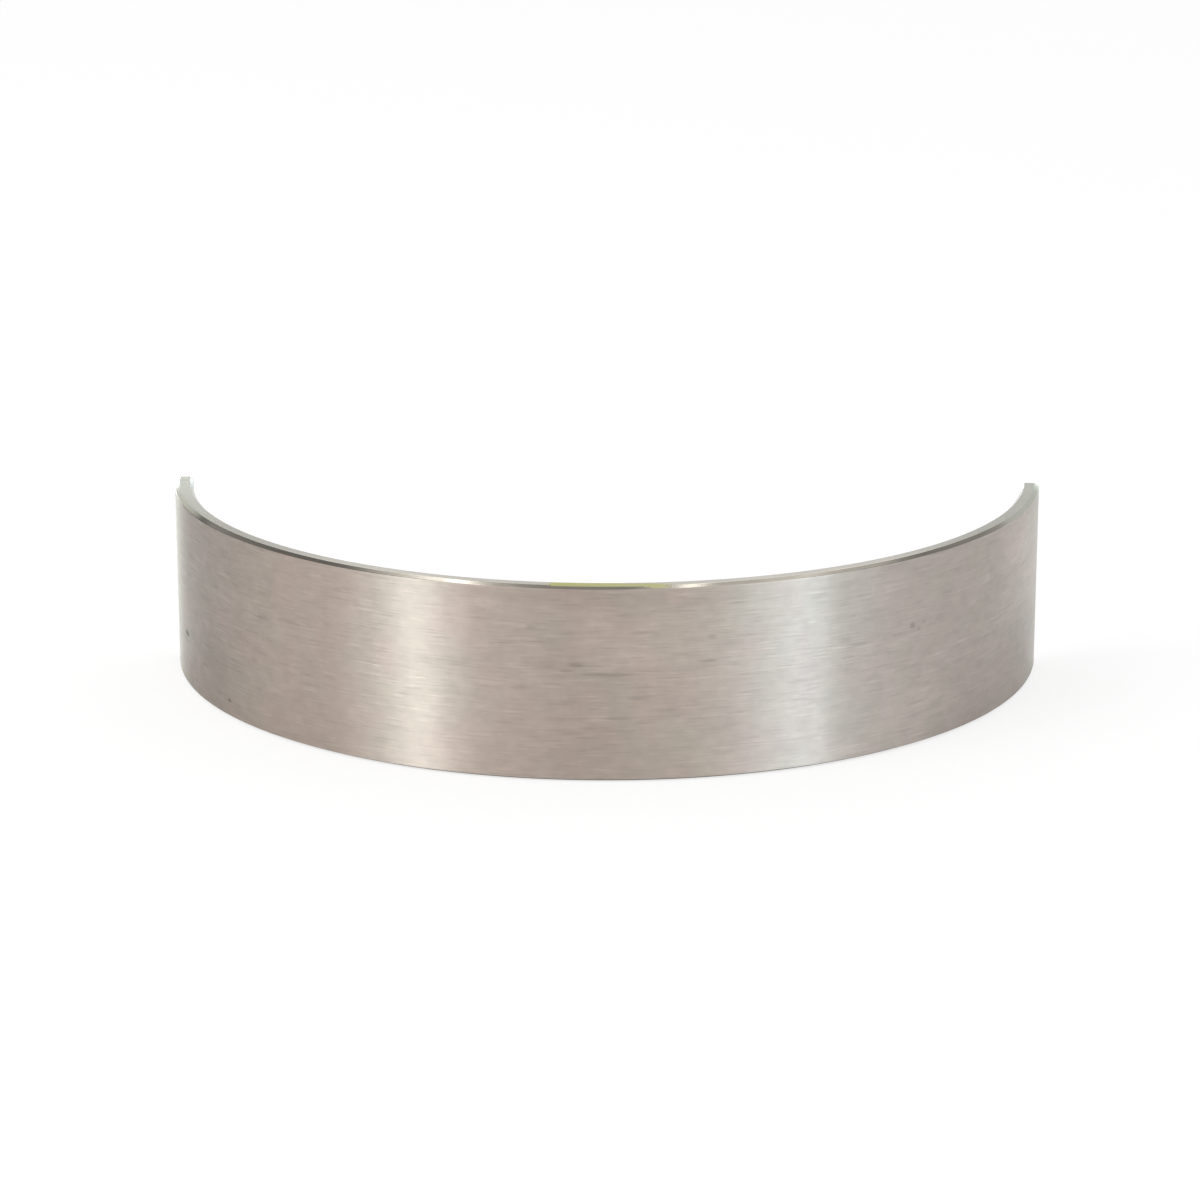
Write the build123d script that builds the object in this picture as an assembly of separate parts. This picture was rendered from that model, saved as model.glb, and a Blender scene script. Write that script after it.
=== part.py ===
from build123d import *
import math
import os

# One half of a plain split engine bearing with no locating tang, oil hole or groove,
# in its free state, before it is sprung into its bore.
# It stands on one side face. The bearing axis is Z and the origin is on that axis,
# halfway along the width. The crown of the back looks along -Y, and the two joint
# faces look along +Y. Sizes are in millimetres and angles in degrees.

# Back and wall
housing_bore_diameter = 66.9
free_back_radius = 35.15
shell_width = 15.0
wall_thickness = 1.5

# How much longer each half of the back is than a quarter of its bore,
# so that the two halves are squeezed tight when their caps are bolted down
crush_height = 0.03

# Bore: its centre is set back from the centre of the back, which thins the wall
# evenly from the crown to the joint faces, and it opens out further beside them
bore_eccentricity = 0.015
joint_relief_length = 8.0
joint_relief_depth = 0.03

# Edges: the chamfers run round both side faces, the edge break along the joint faces
back_chamfer_radial = 0.4
back_chamfer_axial = 0.18
bore_chamfer = 0.3
joint_edge_break = 0.3

# How far the two cutting shapes run past the metal
cutting_margin = 1.0

bore_radius = free_back_radius - wall_thickness + bore_eccentricity


def half_angle():
    """Angle from the crown to a joint face.

    The middle of the wall keeps its length when the shell is sprung in, so the free
    shell, whose radius is larger, spans a little less than half a circle.
    """
    mid_wall = wall_thickness / 2
    developed_half = math.pi / 2 * (housing_bore_diameter / 2 - mid_wall) + crush_height
    return math.degrees(developed_half / (free_back_radius - mid_wall))


def at(radius, angle):
    """Point at a radius from the bearing axis and an angle from the crown towards +X."""
    turn = math.radians(angle)
    return (radius * math.sin(turn), -radius * math.cos(turn))


def bore_point(angle, relief=0.0):
    """Point of the bore at an angle from the crown, deepened into the wall by a relief."""
    turn = math.radians(angle)
    sideways = bore_eccentricity * math.sin(turn)
    reach = math.sqrt(bore_radius**2 - sideways**2) - bore_eccentricity * math.cos(turn)
    return at(reach + relief, angle)


def wall_outline():
    """The wall seen along the axis: back, joint faces, bore and its two joint reliefs."""
    joint = half_angle()
    runout = joint - math.degrees(joint_relief_length / bore_radius)
    lines = [
        ThreePointArc(at(free_back_radius, -joint), at(free_back_radius, 0), at(free_back_radius, joint)),
        ThreePointArc(bore_point(-runout), bore_point(0), bore_point(runout)),
    ]
    for side in (-1, 1):
        joint_end = bore_point(side * joint, joint_relief_depth)
        # The relief deepens with the square of its length, so it is a quarter deep halfway
        halfway = bore_point(side * (joint + runout) / 2, joint_relief_depth / 4)
        lines.append(ThreePointArc(bore_point(side * runout), halfway, joint_end))
        lines.append(Line(joint_end, at(free_back_radius, side * joint)))
    return make_face(lines)


def formed_wall():
    """The formed strip, longer than the finished width, with its joint edges broken."""
    strip = extrude(wall_outline(), amount=shell_width / 2 + cutting_margin, both=True)
    joint_edges = strip.edges().filter_by(Axis.Z).group_by(Axis.Y)[-1]
    joint_edges += strip.edges().filter_by(Axis.Z).group_by(Axis.Y)[-2]
    return chamfer(joint_edges, joint_edge_break)


def turned_ring():
    """Ring that leaves the side faces and the chamfers of the back and the bore."""
    side = shell_width / 2
    back_edge = free_back_radius - back_chamfer_radial
    bore_edge = free_back_radius - wall_thickness + bore_chamfer
    back_fall = cutting_margin * back_chamfer_axial / back_chamfer_radial
    outermost = back_edge + cutting_margin
    innermost = bore_edge - cutting_margin
    profile = Polyline(
        (back_edge, 0, side),
        (outermost, 0, side - back_fall),
        (outermost, 0, back_fall - side),
        (back_edge, 0, -side),
        (bore_edge, 0, -side),
        (innermost, 0, cutting_margin - side),
        (innermost, 0, side - cutting_margin),
        (bore_edge, 0, side),
        close=True,
    )
    return revolve(make_face(profile), Axis.Z)


def bearing_shell():
    """The finished half shell: formed, then turned on its side faces and edges."""
    return formed_wall() & turned_ring()


os.makedirs("parts", exist_ok=True)
shell = bearing_shell()
shell.label = "bearing_shell"
export_step(shell, "parts/bearing_shell.step")
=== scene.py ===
import math

import bpy
import numpy as np
from mathutils import Matrix, Vector


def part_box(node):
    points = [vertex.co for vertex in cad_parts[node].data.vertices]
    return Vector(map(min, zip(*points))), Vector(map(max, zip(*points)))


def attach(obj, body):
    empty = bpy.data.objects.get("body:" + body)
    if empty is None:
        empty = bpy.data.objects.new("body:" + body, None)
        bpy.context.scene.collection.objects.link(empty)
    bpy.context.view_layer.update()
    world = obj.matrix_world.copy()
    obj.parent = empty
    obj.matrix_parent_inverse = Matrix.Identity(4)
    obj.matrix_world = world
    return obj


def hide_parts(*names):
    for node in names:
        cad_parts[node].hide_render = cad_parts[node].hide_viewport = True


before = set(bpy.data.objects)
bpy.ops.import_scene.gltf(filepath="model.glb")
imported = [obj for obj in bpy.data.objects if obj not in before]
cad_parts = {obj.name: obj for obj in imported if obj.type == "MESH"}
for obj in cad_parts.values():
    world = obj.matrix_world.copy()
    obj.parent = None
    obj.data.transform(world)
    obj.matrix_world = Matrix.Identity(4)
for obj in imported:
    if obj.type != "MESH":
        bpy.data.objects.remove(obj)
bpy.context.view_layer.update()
print("frame loaded")

mm = 0.001
scene = bpy.context.scene

# The shell is one piece. Its outer radius, width and joint angle come from the frame.
shell = {
    "name": "groundShell",
    "node": "bearing_shell",
    "wall": 1.5 * mm,
    "boreSetBack": 0.015 * mm,        # bore centre, towards the joint faces
    "reliefLength": 8.0 * mm,         # the bore opens out over this length beside each joint
    "reliefDepth": 0.03 * mm,
    "backChamferRadial": 0.4 * mm,
    "backChamferAxial": 0.18 * mm,
    "boreChamfer": 0.3 * mm,
    "jointEdgeBreak": 0.3 * mm,
    "leastChamfer": 0.02 * mm,        # the bore chamfer where the edge break meets it
    "edgeRounding": 0.03 * mm,        # how far a worn edge reaches along each of its faces
    "flatStarts": 2.2,                # where the flat of a face starts, in edge roundings
    "curvePoints": 4,                 # on each rounded edge
    "steps": 640,                     # stations round the shell
    "smoothUpTo": 35,                 # degrees between faces that shade as one
    "stripScale": 110 * mm,           # length of surface that fills the UV square
    "endUvPlace": (0.1, 0.02),        # of the first joint face, beside and above the strip
    "endUvSpacing": 0.3,              # from there to the second joint face
}

# The order of the materials, and of the section's eight faces from the back upwards
finishes = ["back", "chamfer", "side", "bore", "boreChamfer", "joint"]
facesRound = ["back", "chamfer", "side", "boreChamfer", "bore", "boreChamfer", "side", "chamfer"]


def sectionCorners(turn, size):
    # Eight corners of the wall's section at each angle from the crown, as (radius, height).
    # The bore is a circle set back from the axis, plus a relief that grows with the square
    # of its length. Beside the joint the back and the bore draw in by the edge break.
    outer, half, joint = size["outer"], size["half"], size["joint"]
    boreCircle = outer - shell["wall"] + shell["boreSetBack"]
    reach = np.sqrt(boreCircle**2 - (shell["boreSetBack"] * np.sin(turn))**2)
    runOut = joint - shell["reliefLength"] / boreCircle
    relief = np.clip((np.abs(turn) - runOut) / (joint - runOut), 0, 1)**2
    drawnIn = np.clip((np.abs(turn) - joint) * outer / shell["jointEdgeBreak"] + 1, 0, 1)
    drawnIn = drawnIn * shell["jointEdgeBreak"]
    bore = reach - shell["boreSetBack"] * np.cos(turn) + shell["reliefDepth"] * relief + drawnIn
    back = outer - drawnIn
    faceOuter = np.full_like(turn, outer - shell["backChamferRadial"])
    faceInner = np.maximum(outer - shell["wall"] + shell["boreChamfer"],
                           bore + shell["leastChamfer"])
    backTop = half - (back - faceOuter) * shell["backChamferAxial"] / shell["backChamferRadial"]
    boreTop = half - (faceInner - bore)
    top = np.full_like(turn, half)
    radius = np.stack([back, back, faceOuter, faceInner, bore, bore, faceInner, faceOuter], 1)
    height = np.stack([-backTop, backTop, top, top, boreTop, -boreTop, -top, -top], 1)
    return np.stack([radius, height], 2)


def roundedSection(corners):
    # Each corner becomes six points: one on the face before it, four on a quadratic curve
    # from face to face, and one on the face after it, so that the faces stay flat. A face too
    # short for both its corners has them drawn in until they meet at its middle.
    step = np.linspace(0, 1, shell["curvePoints"])
    reach = shell["edgeRounding"]
    flat = [shell["flatStarts"]]
    before = np.concatenate([flat, (1 - step)**2, [0]]) * reach
    after = np.concatenate([[0], step**2, flat]) * reach
    back = np.roll(corners, 1, 1) - corners
    ahead = np.roll(corners, -1, 1) - corners
    needed = 2 * shell["flatStarts"] * reach
    back = back / np.maximum(np.linalg.norm(back, axis=2, keepdims=True), needed)
    ahead = ahead / np.maximum(np.linalg.norm(ahead, axis=2, keepdims=True), needed)
    points = (corners[:, :, None] + back[:, :, None] * before[None, None, :, None]
              + ahead[:, :, None] * after[None, None, :, None])
    return points.reshape(len(corners), -1, 2)


def shellMesh():
    # The section at each station is carried round the axis and closed by a flat cap at each
    # joint. The outer radius, width and joint angle are read from the CAD node's box.
    low, high = (Vector(corner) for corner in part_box(shell["node"]))
    outer = -low.y
    half = high.z
    brokenAngle = shell["jointEdgeBreak"] / outer
    # The joint face's inner edge reaches furthest along Y, at the end of the bore's relief
    setBack = shell["boreSetBack"]
    innerEdge = outer - shell["wall"] + setBack + shell["reliefDepth"] + shell["jointEdgeBreak"]
    joint = math.acos(-high.y / (innerEdge + setBack * high.y / innerEdge))
    size = {"outer": outer, "half": half, "joint": joint}
    turn = np.linspace(-joint + brokenAngle, joint - brokenAngle, shell["steps"])
    turn = np.concatenate([[-joint], turn, [joint]])
    section = roundedSection(sectionCorners(turn, size))
    rows, across = section.shape[:2]
    # Place: the radius swept round the Z axis, measured from the crown at -Y towards +X
    place = np.empty((rows, across, 3))
    place[..., 0] = section[..., 0] * np.sin(turn)[:, None]
    place[..., 1] = -section[..., 0] * np.cos(turn)[:, None]
    place[..., 2] = section[..., 1]
    row = np.arange(rows - 1)[:, None]
    col = np.arange(across)[None, :]
    nextCol = (col + 1) % across
    quads = np.stack([row * across + col, (row + 1) * across + col,
                      (row + 1) * across + nextCol, row * across + nextCol], 2).reshape(-1, 4)
    startCap = np.arange(across)
    endCap = (rows - 1) * across + startCap[::-1]
    loops = np.concatenate([quads.ravel(), startCap, endCap])
    counts = np.concatenate([np.full(len(quads), 4), [across, across]])
    mesh = bpy.data.meshes.new(shell["name"])
    mesh.vertices.add(rows * across)
    mesh.vertices.foreach_set("co", place.ravel())
    mesh.loops.add(len(loops))
    mesh.loops.foreach_set("vertex_index", loops)
    mesh.polygons.add(len(counts))
    mesh.polygons.foreach_set("loop_start", np.concatenate([[0], np.cumsum(counts)[:-1]]))
    # Material: a corner's first half belongs to the face before it, the rest to the one after
    perCorner = shell["curvePoints"] + 2
    corner, point = np.divmod(np.arange(across), perCorner)
    run = (corner - (point < perCorner // 2)) % len(facesRound)
    finish = np.array([finishes.index(face) for face in facesRound])[run]
    ends = np.full(2, finishes.index("joint"))
    mesh.polygons.foreach_set("material_index", np.concatenate([np.tile(finish, rows - 1), ends]))
    # UV: the arc length at the back runs along U and the way round the section along V
    middle = section[rows // 2]
    stride = np.linalg.norm(np.roll(middle, -1, 0) - middle, axis=1)
    girth = np.concatenate([[0], np.cumsum(stride)]) / shell["stripScale"]
    along = 0.5 + turn * outer / shell["stripScale"]
    uAxis = np.stack([along[:-1], along[1:], along[1:], along[:-1]], 1)
    u = np.repeat(uAxis[:, None, :], across, 1)
    v = np.stack([girth[:-1], girth[:-1], girth[1:], girth[1:]], 1)
    v = np.repeat(v[None], rows - 1, 0)
    skin = np.stack([u, v], 3).reshape(-1, 2)
    # The two joint faces lie side by side above the strip, standing along U
    beside, above = shell["endUvPlace"]
    startUv = section[0] - [outer - shell["wall"], -half]
    startUv = startUv[:, ::-1] / shell["stripScale"] + [beside, girth[-1] + above]
    endUv = (startUv + [shell["endUvSpacing"], 0])[::-1]
    layer = mesh.uv_layers.new(name="strip")
    layer.data.foreach_set("uv", np.concatenate([skin, startUv, endUv]).ravel())
    mesh.update(calc_edges=True)
    mesh.validate()
    mesh.polygons.foreach_set("use_smooth", np.ones(len(counts), bool))
    mesh.set_sharp_from_angle(angle=math.radians(shell["smoothUpTo"]))
    return mesh, size


def addNode(tree, kind, links=None, **values):
    # One node, its settings, and what feeds its sockets: a number, a colour or another socket
    node = tree.nodes.new(kind)
    for name, value in values.items():
        setattr(node, name, value)
    for socket, value in (links or {}).items():
        target = node.inputs[socket]
        if isinstance(value, bpy.types.NodeSocket):
            tree.links.new(value, target)
        else:
            target.default_value = value
    return node


def newMaterial(name):
    # A material whose tree holds one Principled shader and its output
    material = bpy.data.materials.new(name)
    material.use_nodes = True
    tree = material.node_tree
    tree.nodes.clear()
    surface = tree.nodes.new("ShaderNodeBsdfPrincipled")
    output = tree.nodes.new("ShaderNodeOutputMaterial")
    tree.links.new(surface.outputs[0], output.inputs[0])
    return material, tree, surface


def mixColor(tree, factor, first, second, blend="MIX"):
    # The first colour where the factor is 0 and the second where it is 1, or their blend
    node = tree.nodes.new("ShaderNodeMix")
    node.data_type = "RGBA"
    node.blend_type = blend
    for socket, value in ((0, factor), (6, first), (7, second)):
        if isinstance(value, bpy.types.NodeSocket):
            tree.links.new(value, node.inputs[socket])
        else:
            node.inputs[socket].default_value = value
    return node.outputs[2]


def calculate(tree, operation, first, second=0.0):
    # One Math node, named by its operation
    return addNode(tree, "ShaderNodeMath", {0: first, 1: second}, operation=operation).outputs[0]


def remap(tree, value, low, high, newLow, newHigh, smooth=False):
    # The value carried from one range to another and held at its ends
    return addNode(tree, "ShaderNodeMapRange",
                   {0: value, 1: low, 2: high, 3: newLow, 4: newHigh},
                   interpolation_type="SMOOTHSTEP" if smooth else "LINEAR").outputs[0]


def shaded(tree, color, factor):
    # The colour times a grey factor
    grey = addNode(tree, "ShaderNodeCombineXYZ", {0: factor, 1: factor, 2: factor}).outputs[0]
    return mixColor(tree, 1.0, color, grey, "MULTIPLY")


# What grinding and turning leave on every face, beside the sizes that each finish gives.
# Sizes are in millimetres, and each noise range becomes 0 to 1 or -1 to 1.
grinding = {
    "fineShare": 0.8,                 # of the lines, the rest are broader
    "broadLength": 1.6,               # in line lengths
    "broadPitch": 2.4,                # in line pitches
    "lineNoise": (0.32, 0.68),
    "markNoise": (0.36, 0.22),
    "patchSize": (1.7, 0.5),
    "patchNoise": (0.34, 0.66),
    "patchStrength": (0.1, 1.7),
    "mottleSize": (1.2, 0.7),
    "mottleNoise": (0.3, 0.7),
    "cloudHeight": 1.2,               # in cloud lengths
    # Detail, roughness and seed of each noise
    "fineGrain": (3.0, 0.6, 1.3),
    "broadGrain": (1.0, 0.5, 4.7),
    "markGrain": (1.5, 0.5, 7.1),
    "patchGrain": (1.0, 0.5, 3.2),
    "mottleGrain": (2.0, 0.55, 9.4),
    "cloudGrain": (1.5, 0.5, 12.9),
}


def grindingGroup():
    # What a belt or a tool leaves along the strip. The coordinates are the UV map and the
    # sizes are in millimetres. It gives fine lines, short deeper marks, mottling, clouds, and
    # the patches in which the lines are strong. Lines and mottling lie round zero.
    group = bpy.data.node_groups.new("grindingLines", "ShaderNodeTree")
    face = group.interface
    face.new_socket("Strip", in_out="INPUT", socket_type="NodeSocketVector")
    for name in ("Line Length", "Line Pitch", "Mark Length", "Mark Pitch", "Cloud Size"):
        face.new_socket(name, in_out="INPUT", socket_type="NodeSocketFloat")
    for name in ("Lines", "Marks", "Mottle", "Patches", "Clouds"):
        face.new_socket(name, in_out="OUTPUT", socket_type="NodeSocketFloat")
    given = group.nodes.new("NodeGroupInput")
    result = group.nodes.new("NodeGroupOutput")
    toMm = shell["stripScale"] / mm
    strip = addNode(group, "ShaderNodeVectorMath", {0: given.outputs["Strip"], 1: (toMm, toMm, 0)},
                    operation="MULTIPLY").outputs[0]

    def stretched(length, pitch, detail, roughness, seed):
        size = addNode(group, "ShaderNodeCombineXYZ", {0: length, 1: pitch, 2: 1.0}).outputs[0]
        scaled = addNode(group, "ShaderNodeVectorMath", {0: strip, 1: size}, operation="DIVIDE")
        noise = addNode(group, "ShaderNodeTexNoise",
                        {"Vector": scaled.outputs[0], "W": seed, "Scale": 1.0,
                         "Detail": detail, "Roughness": roughness}, noise_dimensions="4D")
        return noise.outputs["Fac"]

    lineLength, linePitch = given.outputs["Line Length"], given.outputs["Line Pitch"]
    cloudSize = given.outputs["Cloud Size"]
    fine = stretched(lineLength, linePitch, *grinding["fineGrain"])
    broad = stretched(calculate(group, "MULTIPLY", lineLength, grinding["broadLength"]),
                      calculate(group, "MULTIPLY", linePitch, grinding["broadPitch"]),
                      *grinding["broadGrain"])
    share = grinding["fineShare"]
    lines = calculate(group, "ADD", calculate(group, "MULTIPLY", fine, share),
                      calculate(group, "MULTIPLY", broad, 1 - share))
    lines = remap(group, lines, *grinding["lineNoise"], -1, 1)
    patches = remap(group, stretched(*grinding["patchSize"], *grinding["patchGrain"]),
                    *grinding["patchNoise"], *grinding["patchStrength"], True)
    marks = stretched(given.outputs["Mark Length"], given.outputs["Mark Pitch"],
                      *grinding["markGrain"])
    marks = remap(group, marks, *grinding["markNoise"], 0, 1, True)
    marks = calculate(group, "MULTIPLY", marks, patches)
    mottle = remap(group, stretched(*grinding["mottleSize"], *grinding["mottleGrain"]),
                   *grinding["mottleNoise"], -1, 1)
    clouds = stretched(cloudSize, calculate(group, "MULTIPLY", cloudSize, grinding["cloudHeight"]),
                       *grinding["cloudGrain"])
    for name, value in (("Lines", lines), ("Marks", marks), ("Mottle", mottle),
                        ("Patches", patches), ("Clouds", clouds)):
        group.links.new(value, result.inputs[name])
    return group


def groundLines(tree, group, sizes):
    # The grinding group on the strip map, with a finish's own sizes
    strip = addNode(tree, "ShaderNodeUVMap", uv_map="strip").outputs[0]
    node = tree.nodes.new("ShaderNodeGroup")
    node.node_tree = group
    tree.links.new(strip, node.inputs["Strip"])
    for name, value in sizes.items():
        node.inputs[name].default_value = value
    return node.outputs


def runAlongStrip(tree, surface, anisotropy):
    # A quarter turn draws the highlights out across the lines, which run along U
    quarterTurn = 0.25
    tangent = addNode(tree, "ShaderNodeTangent", direction_type="UV_MAP", uv_map="strip")
    tree.links.new(tangent.outputs[0], surface.inputs["Tangent"])
    surface.inputs["Anisotropic"].default_value = anisotropy
    surface.inputs["Anisotropic Rotation"].default_value = quarterTurn


def engrave(tree, surface, height, relief):
    # Relief from a height, with its strength and its depth in millimetres
    strength, depth = relief
    bump = addNode(tree, "ShaderNodeBump", {"Height": height, "Strength": strength,
                                            "Distance": depth * mm})
    tree.links.new(bump.outputs[0], surface.inputs["Normal"])


def spreadRound(tree, color, value, depth):
    # The colour made darker and lighter by up to the depth as the value goes from -1 to 1
    return shaded(tree, color, remap(tree, value, -1, 1, 1 - depth, 1 + depth))


steelBack = {
    "pink": (0.589, 0.510, 0.456, 1),
    "green": (0.575, 0.517, 0.454, 1),
    "lineDepth": 0.072,
    "markDepth": 0.10,
    "mottleDepth": 0.055,
    "roughness": 0.34,
    "roughnessDrift": 0.028,
    "anisotropy": 1.0,
    "relief": (0.7, 0.004),
    "tintNoise": (0.38, 0.62),
    "lines": {"Line Length": 3.0, "Line Pitch": 0.13, "Mark Length": 2.4, "Mark Pitch": 0.13,
              "Cloud Size": 4.0},
    "speckEdge": (0.35, 1.35),        # from full depth to none, in half lengths of the spot
}

# Spots and streaks on the back, among them painted glints in the highlight bands and soft
# patches of painted shade and painted light: degrees from the crown towards +X, height above
# the middle, length and height of the spot, in millimetres, and how much of the colour it
# takes. Below zero it is lighter than the steel round it.
spotsAndPaintedLight = {
    "leftEnd": [(-70.8, -3.15, 1.5, 0.5, 0.72), (-71.0, -3.75, 1.1, 0.26, 0.22),
                (-55.1, -6.1, 0.6, 0.3, 0.45)],
    "leftFlank": [(-46.9, 1.74, 2.0, 0.3, 0.1), (-41.8, 2.15, 2.1, 0.3, 0.08),
                  (-41.8, 1.85, 2.1, 0.2, -0.06), (-37.7, 2.28, 1.7, 0.22, 0.06),
                  (-52.9, -2.61, 2.4, 0.4, 0.08), (-48.8, -1.89, 1.0, 0.3, 0.09),
                  (-38.7, -1.7, 1.8, 0.24, 0.1), (-38.7, -2.0, 2.2, 0.2, -0.07),
                  (-38.3, -0.57, 1.0, 0.3, 0.06)],
    # Painted glints: lighter streaks in the left highlight band
    "leftBandPaintedGlints": [(-22.0, 4.24, 1.4, 0.2, -0.09), (-19.8, 4.62, 1.4, 0.22, -0.08),
                 (-22.3, -0.33, 1.8, 0.24, -0.1), (-21.4, -2.79, 2.0, 0.24, -0.1),
                 (-20.7, -3.59, 1.5, 0.24, -0.1), (-19.3, -1.55, 1.2, 0.2, -0.08)],
    # Mostly painted glints in the right highlight band: lighter streaks and a tall soft patch of
    # painted light, with two dark streaks between them
    "rightBand": [(25.4, 4.24, 0.9, 0.2, -0.09), (27.5, 3.86, 1.0, 0.2, -0.12),
                  (26.7, 3.46, 1.4, 0.24, 0.04), (25.4, -1.73, 0.7, 0.26, -0.12),
                  (27.3, -1.57, 1.4, 0.22, -0.09), (27.6, -2.14, 1.6, 0.2, 0.04),
                  (27.4, -2.66, 1.2, 0.22, -0.09), (24.9, -2.86, 1.5, 0.2, -0.08),
                  (26.0, -3.26, 1.8, 0.22, -0.08), (28.6, -5.29, 0.8, 0.3, -0.12),
                  (26.6, -6.53, 1.2, 0.2, -0.08), (28.6, -4.5, 1.6, 5.0, -0.05)],
    "crown": [(-1.9, 1.55, 1.2, 0.4, 0.17), (0.0, 1.48, 3.0, 0.18, 0.1),
              (-3.1, 1.07, 1.1, 0.26, 0.14), (2.1, 0.8, 4.6, 0.34, 0.19),
              (0.7, 1.28, 2.4, 0.2, -0.07), (1.6, 2.36, 1.4, 0.2, 0.06),
              (5.4, -1.0, 1.7, 0.36, 0.13), (8.5, -1.98, 2.3, 0.3, 0.09),
              (3.0, -2.57, 2.2, 0.3, 0.12), (-2.2, -2.62, 2.8, 0.2, 0.09),
              (-0.4, -3.35, 1.3, 0.3, 0.08), (-0.7, -4.08, 1.9, 0.24, 0.08)],
    "leftOfCrown": [(-7.46, 4.32, 0.9, 0.5, 0.1), (-5.6, 3.48, 2.6, 0.2, 0.06),
                    (-10.6, 3.02, 1.3, 0.26, 0.1), (-9.0, -0.32, 1.8, 0.3, 0.07),
                    (-5.35, 1.26, 2.2, 0.2, 0.07), (-10.9, -3.1, 1.9, 0.24, 0.13),
                    (-0.6, 4.55, 4.0, 0.7, -0.05)],
    "rightOfCrown": [(14.6, 3.5, 0.8, 0.5, 0.13), (12.3, 3.47, 2.9, 0.18, 0.07),
                     (17.0, 2.95, 2.2, 0.4, 0.07), (18.9, 3.44, 1.9, 0.24, 0.12),
                     (14.1, 1.66, 1.3, 0.26, 0.1), (10.6, 2.25, 1.5, 0.24, 0.1),
                     (20.0, -4.54, 1.2, 0.22, 0.1), (15.3, 4.3, 2.2, 0.26, -0.08),
                     (11.4, -1.57, 1.4, 0.2, -0.08), (17.2, 2.19, 1.7, 0.26, -0.07)],
    "rightFlank": [(42.95, 2.1, 0.62, 0.6, 0.24), (45.0, 2.2, 0.45, 0.36, 0.13),
                   (44.1, 1.75, 0.36, 0.36, 0.13), (32.2, 2.0, 1.3, 0.4, 0.08),
                   (34.8, 1.55, 1.9, 0.24, 0.1), (33.1, 0.71, 1.5, 0.22, 0.09),
                   (38.1, -0.56, 1.8, 0.24, 0.09), (39.3, -1.08, 3.2, 0.22, -0.07),
                   (40.3, 1.64, 1.2, 0.3, 0.08), (48.0, -0.72, 2.2, 0.3, -0.09),
                   (52.6, -0.38, 1.9, 0.4, -0.1), (39.0, -2.55, 1.6, 0.22, -0.06),
                   (43.9, -4.09, 1.8, 0.24, 0.08), (47.9, 2.08, 1.1, 0.4, 0.06)],
    # Soft patches of painted shade (above zero) and painted light (below zero): painted shade under
    # the top edge and at the lower right end, painted light at the upper right end and on the left
    # limb
    "paintedShadeAndLight": [(5.5, 6.6, 26.0, 2.0, 0.055), (2.4, 2.7, 7.5, 3.4, -0.07),
                   (8.0, -4.2, 15.0, 4.5, 0.03), (44.0, -4.6, 9.0, 5.0, -0.08),
                   (73.0, -3.2, 12.0, 5.0, 0.075), (76.0, 2.6, 16.0, 8.0, -0.12),
                   (69.0, 6.0, 10.0, 5.4, -0.12), (-59.5, -3.8, 6.0, 5.0, 0.09),
                   (-3.4, 1.9, 4.5, 4.6, 0.055), (0.9, 4.8, 2.6, 3.0, -0.07),
                   (4.5, 1.9, 5.0, 1.6, -0.05), (-15.0, 6.8, 12.0, 1.2, 0.04),
                   (33.0, -7.0, 16.0, 1.6, -0.05), (21.0, -7.0, 10.0, 1.4, -0.04),
                   (-74.0, 0.0, 5.5, 30.0, -0.07), (-20.0, -6.6, 4.0, 3.0, -0.08),
                   (-20.5, -2.5, 3.5, 7.0, -0.04), (-13.6, 2.5, 3.0, 7.0, 0.03),
                   (-4.0, -5.5, 6.0, 1.6, 0.045), (11.5, -1.4, 5.0, 3.0, 0.04),
                   (31.5, 4.5, 2.5, 6.0, 0.035)],
}


def spotsAndPaintedLightGroup():
    # Each spot, painted glint and patch of painted shade and light is an ellipse on the unrolled
    # back, whose place is the angle round the axis times the back's radius, and the height
    group = bpy.data.node_groups.new("darkSpotsAndPaintedLight", "ShaderNodeTree")
    group.interface.new_socket("Place", in_out="INPUT", socket_type="NodeSocketVector")
    group.interface.new_socket("Darkness", in_out="OUTPUT", socket_type="NodeSocketFloat")
    given = group.nodes.new("NodeGroupInput")
    result = group.nodes.new("NodeGroupOutput")
    place = addNode(group, "ShaderNodeSeparateXYZ", {0: given.outputs["Place"]}).outputs
    angle = calculate(group, "ARCTAN2", place["X"], calculate(group, "MULTIPLY", place["Y"], -1.0))
    unrolled = addNode(group, "ShaderNodeCombineXYZ",
                       {0: calculate(group, "MULTIPLY", angle, size["outer"] / mm),
                        1: calculate(group, "MULTIPLY", place["Z"], 1 / mm), 2: 0.0}).outputs[0]
    total = None
    for degrees, level, length, tall, depth in (spot for area in spotsAndPaintedLight.values() for spot in area):
        arc = math.radians(degrees) * size["outer"] / mm
        # Distance from the middle of the spot, where 1 is its edge
        away = addNode(group, "ShaderNodeVectorMath",
                       {0: unrolled, 1: (2 / length, 2 / tall, 0),
                        2: (-2 * arc / length, -2 * level / tall, 0)},
                       operation="MULTIPLY_ADD").outputs[0]
        away = addNode(group, "ShaderNodeVectorMath", {0: away}, operation="LENGTH")
        spot = remap(group, away.outputs["Value"], *steelBack["speckEdge"], depth, 0, True)
        total = spot if total is None else calculate(group, "ADD", total, spot)
    group.links.new(total, result.inputs["Darkness"])
    return group


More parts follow.
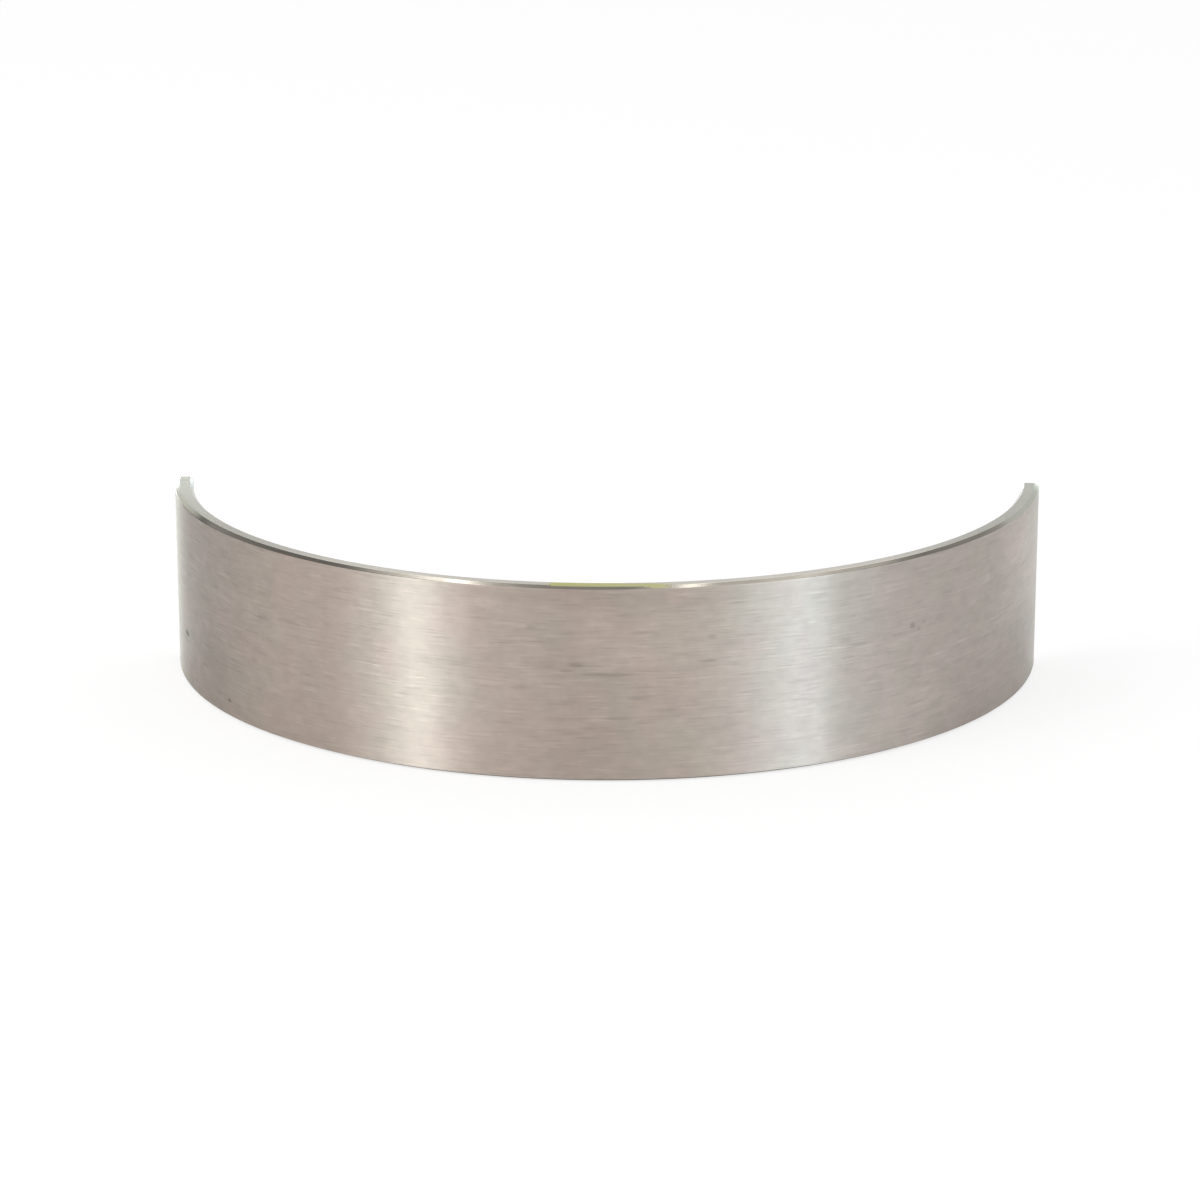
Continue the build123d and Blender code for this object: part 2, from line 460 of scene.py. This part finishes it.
def steelBackMaterial(group):
    # Ground round the back: fine lines along the strip, short darker marks, a slight mottling,
    # a slow drift between a pinkish and a greenish grey, spots and streaks, and painted glints
    # and patches of painted shade and painted light
    material, tree, surface = newMaterial("steelBack")
    lines = groundLines(tree, group, steelBack["lines"])
    tintDrift = remap(tree, lines["Clouds"], *steelBack["tintNoise"], 0, 1, True)
    color = mixColor(tree, tintDrift, steelBack["pink"], steelBack["green"])
    # In the strong patches the lines go past 1, so their range is wider
    scratched = calculate(tree, "MULTIPLY", lines["Lines"], lines["Patches"])
    widest = 1.5
    depth = widest * steelBack["lineDepth"]
    color = shaded(tree, color, remap(tree, scratched, -widest, widest, 1 - depth, 1 + depth))
    color = shaded(tree, color, remap(tree, lines["Marks"], 0, 1, 1, 1 - steelBack["markDepth"]))
    color = spreadRound(tree, color, lines["Mottle"], steelBack["mottleDepth"])
    # Spots and streaks, with painted glints and patches of painted shade and painted light
    spotsAndPaintedLightNode = tree.nodes.new("ShaderNodeGroup")
    spotsAndPaintedLightNode.node_tree = spotsAndPaintedLightGroup()
    place = tree.nodes.new("ShaderNodeTexCoord")
    tree.links.new(place.outputs["Object"], spotsAndPaintedLightNode.inputs["Place"])
    color = shaded(tree, color, calculate(tree, "SUBTRACT", 1.0, spotsAndPaintedLightNode.outputs[0]))
    tree.links.new(color, surface.inputs["Base Color"])
    surface.inputs["Metallic"].default_value = 1.0
    # The dark lines are rougher than the bright ones
    spread = steelBack["roughnessDrift"]
    rough = remap(tree, scratched, -1, 1, steelBack["roughness"] + spread,
                  steelBack["roughness"] - spread)
    tree.links.new(rough, surface.inputs["Roughness"])
    engrave(tree, surface, scratched, steelBack["relief"])
    runAlongStrip(tree, surface, steelBack["anisotropy"])
    return material


# A thin dab of marking paint on the upper side face, given on that face in millimetres
paintDab = {
    "left": -3.1,
    "right": 6.2,
    "runsOver": 4.3,                  # from here on it comes over the edge
    "overFade": (-0.5, 0.3),          # from before that place to behind it
    "edgeUneven": 0.35,
    "edgeNoise": (0.3, 0.7),
    "edgeGrain": (2.6, 3.0, 0.6),     # scale, detail and roughness of the noise
    "leftFade": 0.3,
    "rightFade": 1.2,
    "steadyDepth": 0.06,              # how far it reaches down from the side face
    "overDepth": 0.16,                # and where it comes over the edge
    "lowerFade": 0.05,
    "boreward": -33.9,                # it stays in front of this place along Y
    "borewardFade": 0.1,
    "thinnest": 0.35,
    "roughness": 0.45,
    "color": (0.48, 0.47, 0.17, 1),
    "thinColor": (0.54, 0.52, 0.29, 1),
}


def dabGroup():
    # The dab covers the stretch between its two ends, which waver, on top of the shell only.
    # It is thicker towards its left.
    group = bpy.data.node_groups.new("paintDab", "ShaderNodeTree")
    group.interface.new_socket("Place", in_out="INPUT", socket_type="NodeSocketVector")
    group.interface.new_socket("Cover", in_out="OUTPUT", socket_type="NodeSocketFloat")
    group.interface.new_socket("Thickness", in_out="OUTPUT", socket_type="NodeSocketFloat")
    given = group.nodes.new("NodeGroupInput")
    result = group.nodes.new("NodeGroupOutput")
    place = addNode(group, "ShaderNodeVectorMath", {0: given.outputs["Place"], 3: 1 / mm},
                    operation="SCALE").outputs[0]
    scale, detail, roughness = paintDab["edgeGrain"]
    ragged = addNode(group, "ShaderNodeTexNoise",
                     {"Vector": place, "Scale": scale, "Detail": detail,
                      "Roughness": roughness}).outputs["Fac"]
    ragged = remap(group, ragged, *paintDab["edgeNoise"], -paintDab["edgeUneven"],
                   paintDab["edgeUneven"])
    axis = addNode(group, "ShaderNodeSeparateXYZ", {0: place}).outputs
    across = calculate(group, "ADD", axis["X"], ragged)
    left, right = paintDab["left"], paintDab["right"]
    halfFade = paintDab["leftFade"] / 2
    starts = remap(group, across, left - halfFade, left + halfFade, 0, 1, True)
    ends = remap(group, across, right - paintDab["rightFade"], right, 1, 0, True)
    sideFace = size["half"] / mm
    overFrom, overTo = (paintDab["runsOver"] + fade for fade in paintDab["overFade"])
    lowest = remap(group, across, overFrom, overTo, sideFace - paintDab["steadyDepth"],
                   sideFace - paintDab["overDepth"])
    upper = remap(group, calculate(group, "SUBTRACT", axis["Z"], lowest), 0,
                  paintDab["lowerFade"], 0, 1, True)
    outside = remap(group, axis["Y"], paintDab["boreward"] - paintDab["borewardFade"],
                    paintDab["boreward"], 1, 0)
    cover = calculate(group, "MULTIPLY", calculate(group, "MULTIPLY", starts, ends),
                      calculate(group, "MULTIPLY", upper, outside))
    thick = remap(group, across, left, right, 1, paintDab["thinnest"])
    group.links.new(cover, result.inputs["Cover"])
    group.links.new(thick, result.inputs["Thickness"])
    return group


def painted(tree, surface, group, steelColor, roughness):
    # Paint over metal: its colour, a duller gloss and no metal where it covers
    place = tree.nodes.new("ShaderNodeTexCoord")
    dab = tree.nodes.new("ShaderNodeGroup")
    dab.node_tree = group
    tree.links.new(place.outputs["Object"], dab.inputs["Place"])
    paint = mixColor(tree, dab.outputs["Thickness"], paintDab["thinColor"], paintDab["color"])
    tree.links.new(mixColor(tree, dab.outputs["Cover"], steelColor, paint),
                   surface.inputs["Base Color"])
    tree.links.new(remap(tree, dab.outputs["Cover"], 0, 1, 1, 0), surface.inputs["Metallic"])
    rough = addNode(tree, "ShaderNodeMix",
                    {0: dab.outputs["Cover"], 2: roughness, 3: paintDab["roughness"]},
                    data_type="FLOAT").outputs[0]
    tree.links.new(rough, surface.inputs["Roughness"])


turnedSteel = {
    # Colour, roughness and anisotropy of each face
    "chamfer": ((0.55, 0.51, 0.44, 1), 0.13, 0.9),
    "sideFace": ((0.53, 0.505, 0.46, 1), 0.28, 0.8),
    "lineDepth": 0.08,
    "mottleDepth": 0.04,
    "roughnessDrift": 0.02,
    "cloudNoise": (0.3, 0.7),
    "relief": (0.12, 0.0006),
    "lines": {"Line Length": 6.0, "Line Pitch": 0.08, "Mark Length": 4.0, "Mark Pitch": 0.12,
              "Cloud Size": 5.0},
}


def turnedMaterial(name, group, dab):
    # Turned round the axis with a fine feed
    material, tree, surface = newMaterial(name)
    color, roughness, anisotropy = turnedSteel[name]
    lines = groundLines(tree, group, turnedSteel["lines"])
    steel = spreadRound(tree, color, lines["Lines"], turnedSteel["lineDepth"])
    steel = spreadRound(tree, steel, lines["Mottle"], turnedSteel["mottleDepth"])
    spread = turnedSteel["roughnessDrift"]
    rough = remap(tree, lines["Clouds"], *turnedSteel["cloudNoise"], roughness - spread,
                  roughness + spread)
    painted(tree, surface, dab, steel, rough)
    engrave(tree, surface, lines["Lines"], turnedSteel["relief"])
    runAlongStrip(tree, surface, anisotropy)
    return material


lining = {
    # Colour, roughness and anisotropy of the bore and of its chamfer
    "bore": ((0.74, 0.735, 0.72, 1), 0.26, 0.8),
    "boreChamfer": ((0.76, 0.75, 0.73, 1), 0.2, 0.6),
    "lineDepth": 0.06,
    "cloudDepth": 0.03,
    "cloudNoise": (0.3, 0.7),
    "roughnessDrift": 0.03,
    "relief": (0.2, 0.0006),
    "lines": {"Line Length": 14.0, "Line Pitch": 0.11, "Mark Length": 6.0, "Mark Pitch": 0.1,
              "Cloud Size": 8.0},
}


def liningMaterial(name, group):
    # Bored with a fine feed: even lines round the bore and faint cloudiness
    material, tree, surface = newMaterial(name)
    color, roughness, anisotropy = lining[name]
    lines = groundLines(tree, group, lining["lines"])
    color = spreadRound(tree, color, lines["Lines"], lining["lineDepth"])
    depth = lining["cloudDepth"]
    color = shaded(tree, color, remap(tree, lines["Clouds"], *lining["cloudNoise"],
                                      1 - depth, 1 + depth))
    tree.links.new(color, surface.inputs["Base Color"])
    surface.inputs["Metallic"].default_value = 1.0
    spread = lining["roughnessDrift"]
    rough = remap(tree, lines["Lines"], -1, 1, roughness - spread, roughness + spread)
    tree.links.new(rough, surface.inputs["Roughness"])
    engrave(tree, surface, lines["Lines"], lining["relief"])
    runAlongStrip(tree, surface, anisotropy)
    return material


jointFace = {
    "color": (0.62, 0.60, 0.565, 1),
    "roughness": 0.34,
    "lineDepth": 0.1,
    "relief": (0.2, 0.0008),
    "lines": {"Line Length": 0.07, "Line Pitch": 5.0, "Mark Length": 0.12, "Mark Pitch": 2.5,
              "Cloud Size": 3.0},
}


def jointFaceMaterial(group):
    # Broached across the end: the lines run along the width of the shell
    material, tree, surface = newMaterial("jointFace")
    lines = groundLines(tree, group, jointFace["lines"])
    color = spreadRound(tree, jointFace["color"], lines["Lines"], jointFace["lineDepth"])
    tree.links.new(color, surface.inputs["Base Color"])
    surface.inputs["Metallic"].default_value = 1.0
    surface.inputs["Roughness"].default_value = jointFace["roughness"]
    engrave(tree, surface, lines["Lines"], jointFace["relief"])
    return material


mesh, size = shellMesh()
piece = bpy.data.objects.new(shell["name"], mesh)
scene.collection.objects.link(piece)
group = grindingGroup()
dab = dabGroup()
# In the order of finishes
for material in (steelBackMaterial(group),
                 turnedMaterial("chamfer", group, dab),
                 turnedMaterial("sideFace", group, dab),
                 liningMaterial("bore", group),
                 liningMaterial("boreChamfer", group),
                 jointFaceMaterial(group)):
    mesh.materials.append(material)
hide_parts(shell["node"])
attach(piece, "root")
print("shell made:", len(mesh.polygons), "faces")

# Camera, fitted to the outline in the photograph. The distance is in outer radii of the
# shell, the angles are in degrees and the lens and its sensor in millimetres.
view = {
    "distance": 9.300,
    "elevation": 16.449,
    "azimuth": 1.8,
    "pan": -0.100,
    "tilt": 0.696,
    "lens": 118.4,
    "sensor": 36,
    "nearest": 10 * mm,               # it sees nothing closer than this
}


def addCamera():
    # It looks at the middle of the shell's foot, turned aside and up by the pan and the tilt
    across = math.radians(view["azimuth"])
    up = math.radians(view["elevation"])
    back = Vector((math.sin(across) * math.cos(up), -math.cos(across) * math.cos(up), math.sin(up)))
    right = Vector((math.cos(across), math.sin(across), 0))
    above = back.cross(right)
    aim = (-back + math.tan(math.radians(view["pan"])) * right
           + math.tan(math.radians(view["tilt"])) * above).normalized()
    right = aim.cross(above).normalized()
    above = right.cross(aim)
    data = bpy.data.cameras.new("camera")
    data.sensor_width = view["sensor"]
    data.lens = view["lens"]
    data.clip_start = view["nearest"]
    camera = bpy.data.objects.new("camera", data)
    turn = Matrix((right, above, -aim)).transposed().to_4x4()
    foot = Vector((0, 0, -size["half"]))
    camera.matrix_world = Matrix.Translation(foot + back * view["distance"] * size["outer"]) @ turn
    scene.collection.objects.link(camera)
    scene.camera = camera


addCamera()

studio = {
    "floorSize": 3.0,
    "floorColor": (0.82, 0.82, 0.82, 1),   # as metal and the light see it
    "floorShown": (0.3, 0.3, 0.3, 1),      # as the camera sees it, with the lift
    "floorLift": 0.735,
    "ambient": 0.77,
    "floorGap": 0.02 * mm,
    "keyLight": 0.25,
    "keyPlace": (-0.6, -0.42, 0.68),
    "keyDistance": 0.8,
    "keySize": 0.5,
    "wallTop": 42,                         # degrees up, where the ceiling starts
    "backdropTop": 25.5,                   # the same behind the shell
    "backdropFrom": (110, 130),            # degrees round, from the walls to the backdrop
    "topFade": 4,
    "panelTopFade": 2,
    "lowestRise": 0.05,                    # keeps the ceiling's far end in reach
}

# What metal sees round the shell. Each panel fills a stretch of azimuth, in degrees from the
# camera's own, up to its top: start, end, width of each soft edge, top, brightness, colour.
panels = {
    "roomLeft": (-112.5, 39, 50, 60, 60, 0.73, (1.14, 0.99, 0.96)),
    "roomRight": (39, 150, 60, 30, 60, 0.71, (0.98, 1.02, 1.13)),
    "behindLeft": (-200, -173, 1, 5, 60, 0.85, (1.0, 1.0, 0.96)),
    "behindRight": (173, 200, 5, 1, 60, 0.85, (1.0, 1.0, 0.98)),
    "backdropLeft": (-173, -149, 5, 14, 60, 0.22, (0.95, 1.0, 0.97)),
    "backdropLeftLow": (-173, -149, 5, 14, 22.5, 0.41, (0.95, 1.0, 0.97)),
    "tipLeft": (-170, -157, 3, 3, 20.5, 0.19, (1.0, 1.0, 0.97)),
    "rimLeft": (-173, -151, 4, 14, 9, 4.15, (0.90, 1.09, 1.04)),
    "backdropRight": (150, 172, 30, 5, 60, 0.71, (0.95, 1.02, 0.99)),
    "rimRight": (149, 172, 30, 5, 10, 0.74, (0.88, 1.06, 1.04)),
    "leftOuter": (-70, -36, 16, 2, 60, 1.15, (0.94, 1.0, 1.01)),
    "leftMain": (-56.8, -45.0, 8, 1, 60, 2.5, (0.87, 1.0, 1.01)),
    "leftSpill": (-37, -23, 2, 26, 60, 0.40, (1.08, 1.0, 0.99)),
    "rightGlow": (9, 91, 24, 40, 60, 0.36, (0.84, 1.0, 1.03)),
    "rightOuter": (29, 71, 18, 26, 60, 0.75, (0.81, 1.0, 1.08)),
    "rightInner": (38, 59, 6, 1, 60, 0.86, (0.82, 1.0, 1.15)),
    "rightMain": (47, 59, 2, 0.6, 60, 0.93, (0.8, 1.05, 1.29)),
}

# Lights in the ceiling, on a plane one unit above the shell, with X to the camera's right and
# Y away from it: from, to along X, from, to along Y, width of the soft edge and brightness
ceilingPanels = {
    "rest": (-9, 9, -9, 9, 0.1, 0.18),
    "middle": (-0.12, 0.05, -9, 9, 0.1, 0.2),
    "left": (-0.39, -0.14, -9, 9, 0.1, 0.57),
    "leftCore": (-0.335, -0.2, -9, 9, 0.05, 0.25),
    "farLeft": (-9, -0.65, -9, 9, 0.1, 0.1),
    "leftEnd": (-9, -0.8, -9, 9, 0.1, 0.12),
    "right": (0.055, 0.49, -9, 9, 0.05, 0.52),
    "rightBand": (0.24, 0.345, -9, 9, 0.03, 0.2),
    "rightEdge": (0.31, 0.345, -9, 9, 0.01, 0.35),
    "farRight": (0.58, 9, -9, 9, 0.06, 0.16),
    "rightEnd": (0.8, 9, -9, 9, 0.08, 0.1),
    "overFace": (-0.4, 0.4, 1.2, 2.6, 0.3, 1.2),
    "leftLamp": (-0.295, -0.26, 0.3, 0.85, 0.004, 0.9),
    "leftBrightLamp": (-0.246, -0.215, 0.3, 0.85, 0.004, 2.8),
    "rightLamp": (0.116, 0.141, 0.3, 0.85, 0.004, 2.3),
}


def addFloor():
    # It catches the shell's shadow, and its lift makes it white to the camera alone
    edge = studio["floorSize"] / 2
    under = -size["half"] - studio["floorGap"]
    mesh = bpy.data.meshes.new("floor")
    corners = [(-edge, -edge, under), (edge, -edge, under), (edge, edge, under),
               (-edge, edge, under)]
    mesh.from_pydata(corners, [], [(0, 1, 2, 3)])
    floor = bpy.data.objects.new("floor", mesh)
    scene.collection.objects.link(floor)
    material, tree, surface = newMaterial("floor")
    surface.inputs["Roughness"].default_value = 1.0
    surface.inputs["Specular IOR Level"].default_value = 0.0
    surface.inputs["Emission Color"].default_value = (1, 1, 1, 1)
    seen = tree.nodes.new("ShaderNodeLightPath").outputs["Is Camera Ray"]
    tree.links.new(mixColor(tree, seen, studio["floorColor"], studio["floorShown"]),
                   surface.inputs["Base Color"])
    tree.links.new(calculate(tree, "MULTIPLY", seen, studio["floorLift"]),
                   surface.inputs["Emission Strength"])
    mesh.materials.append(material)


def addKeyLamp():
    # A broad lamp high in front, for the shadow and the paint. Metal sees the panels instead.
    data = bpy.data.lights.new("keyLamp", "AREA")
    data.shape = "DISK"
    data.size = studio["keySize"]
    distance = studio["keyDistance"]
    place = Vector(studio["keyPlace"]).normalized() * distance
    data.energy = studio["keyLight"] * (math.pi * distance)**2
    lamp = bpy.data.objects.new("keyLamp", data)
    lamp.location = place
    lamp.rotation_euler = place.to_track_quat("Z", "Y").to_euler()
    lamp.visible_camera = False
    lamp.visible_glossy = False
    scene.collection.objects.link(lamp)


def softStretch(tree, place, start, end, startFade, endFade):
    # Two masks, one that comes up over the start and one that goes down over the end
    rise = remap(tree, place, start - startFade / 2, start + startFade / 2, 0, 1, True)
    fall = remap(tree, place, end - endFade / 2, end + endFade / 2, 1, 0, True)
    return rise, fall


def addUp(tree, total, mask, brightness, color=(1, 1, 1)):
    # The running total plus the panel's mask times its brightness and colour
    light = tuple(brightness * part for part in color)
    return addNode(tree, "ShaderNodeVectorMath", {0: mask, 1: light, 2: total},
                   operation="MULTIPLY_ADD").outputs[0]


def addWorld():
    # White where the camera looks. Metal sees wall panels up to their top and the ceiling above.
    world = bpy.data.worlds.new("studio")
    world.use_nodes = True
    tree = world.node_tree
    tree.nodes.clear()
    way = addNode(tree, "ShaderNodeTexCoord").outputs["Generated"]
    way = addNode(tree, "ShaderNodeVectorRotate",
                  {"Vector": way, "Angle": -math.radians(view["azimuth"])},
                  rotation_type="Z_AXIS").outputs[0]
    way = addNode(tree, "ShaderNodeSeparateXYZ", {0: way}).outputs
    azimuth = calculate(tree, "ARCTAN2", way["X"], calculate(tree, "MULTIPLY", way["Y"], -1.0))
    azimuth = calculate(tree, "DEGREES", azimuth)
    elevation = calculate(tree, "DEGREES", calculate(tree, "ARCSINE", way["Z"]))
    walls = (0, 0, 0)
    topFade = studio["panelTopFade"] / 2
    for start, end, startFade, endFade, top, brightness, color in panels.values():
        sides = softStretch(tree, azimuth, start, end, startFade, endFade)
        mask = calculate(tree, "MULTIPLY", *sides)
        under = remap(tree, elevation, top - topFade, top + topFade, 1, 0)
        walls = addUp(tree, walls, calculate(tree, "MULTIPLY", mask, under), brightness, color)
    overhead = calculate(tree, "MAXIMUM", way["Z"], studio["lowestRise"])
    alongX = calculate(tree, "DIVIDE", way["X"], overhead)
    alongY = calculate(tree, "DIVIDE", way["Y"], overhead)
    ceiling = (0, 0, 0)
    for left, right, near, far, fade, brightness in ceilingPanels.values():
        mask = 1.0
        for place, low, high in ((alongX, left, right), (alongY, near, far)):
            stretch = calculate(tree, "MULTIPLY", *softStretch(tree, place, low, high, fade, fade))
            mask = calculate(tree, "MULTIPLY", stretch, mask)
        ceiling = addUp(tree, ceiling, mask, brightness)
    aside = calculate(tree, "ABSOLUTE", azimuth)
    behind = remap(tree, aside, *studio["backdropFrom"], 0, 1, True)
    top = remap(tree, behind, 0, 1, studio["wallTop"], studio["backdropTop"])
    above = calculate(tree, "SUBTRACT", elevation, top)
    above = calculate(tree, "DIVIDE", above, studio["topFade"])
    above = remap(tree, above, -0.5, 0.5, 0, 1, True)
    room = mixColor(tree, above, walls, ceiling)
    path = tree.nodes.new("ShaderNodeLightPath").outputs
    mirror = calculate(tree, "MAXIMUM", path["Is Glossy Ray"], path["Is Transmission Ray"])
    ambient = (studio["ambient"],) * 3 + (1,)
    light = mixColor(tree, mirror, ambient, room)
    light = mixColor(tree, path["Is Camera Ray"], light, (1, 1, 1, 1))
    light = addNode(tree, "ShaderNodeBackground", {"Color": light, "Strength": 1.0})
    output = tree.nodes.new("ShaderNodeOutputWorld")
    tree.links.new(light.outputs[0], output.inputs[0])
    scene.world = world


addFloor()
addKeyLamp()
addWorld()
scene.view_settings.view_transform = "Standard"
print("studio made")
